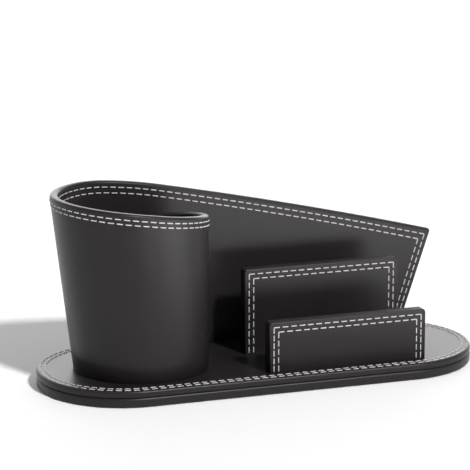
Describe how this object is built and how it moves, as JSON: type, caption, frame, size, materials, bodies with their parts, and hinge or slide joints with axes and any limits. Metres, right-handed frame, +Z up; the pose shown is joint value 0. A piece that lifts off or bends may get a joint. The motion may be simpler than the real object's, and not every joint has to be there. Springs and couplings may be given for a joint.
{
  "type": "desk organizer",
  "caption": "Leather-covered desk organizer: a curled wall forms a pen cup and runs on as a falling back panel, with upright plates for cards on a round-ended base.",
  "frame": {"origin": "middle of the base's underside, on the desk", "axes": "+X along the base from the pen cup to the back panel's tip, +Y to the back, +Z up"},
  "size_m": [0.235, 0.091, 0.1012],
  "materials": {
    "leather": "smooth black synthetic leather, fine grain, satin",
    "thread": "off-white twisted sewing thread",
    "fibreboard": "raw fibreboard",
    "bending_board": "raw greyboard",
    "lining": "short black nap"
  },
  "bodies": {
    "root": {"back_plate_board": "fibreboard", "back_plate_cover": "leather", "back_plate_thread_inner": "thread", "back_plate_thread_outer": "thread", "base_lining": "lining", "base_lower_board": "fibreboard", "base_lower_cover": "leather", "base_thread_inner": "thread", "base_thread_outer": "thread", "base_upper_board": "fibreboard", "base_upper_cover": "leather", "front_plate_board": "fibreboard", "front_plate_cover": "leather", "front_plate_thread_inner": "thread", "front_plate_thread_outer": "thread", "wall_board": "bending_board", "wall_inner_cover": "leather", "wall_outer_cover": "leather", "wall_thread_lower": "thread", "wall_thread_upper": "thread"}
  },
  "joints": []
}
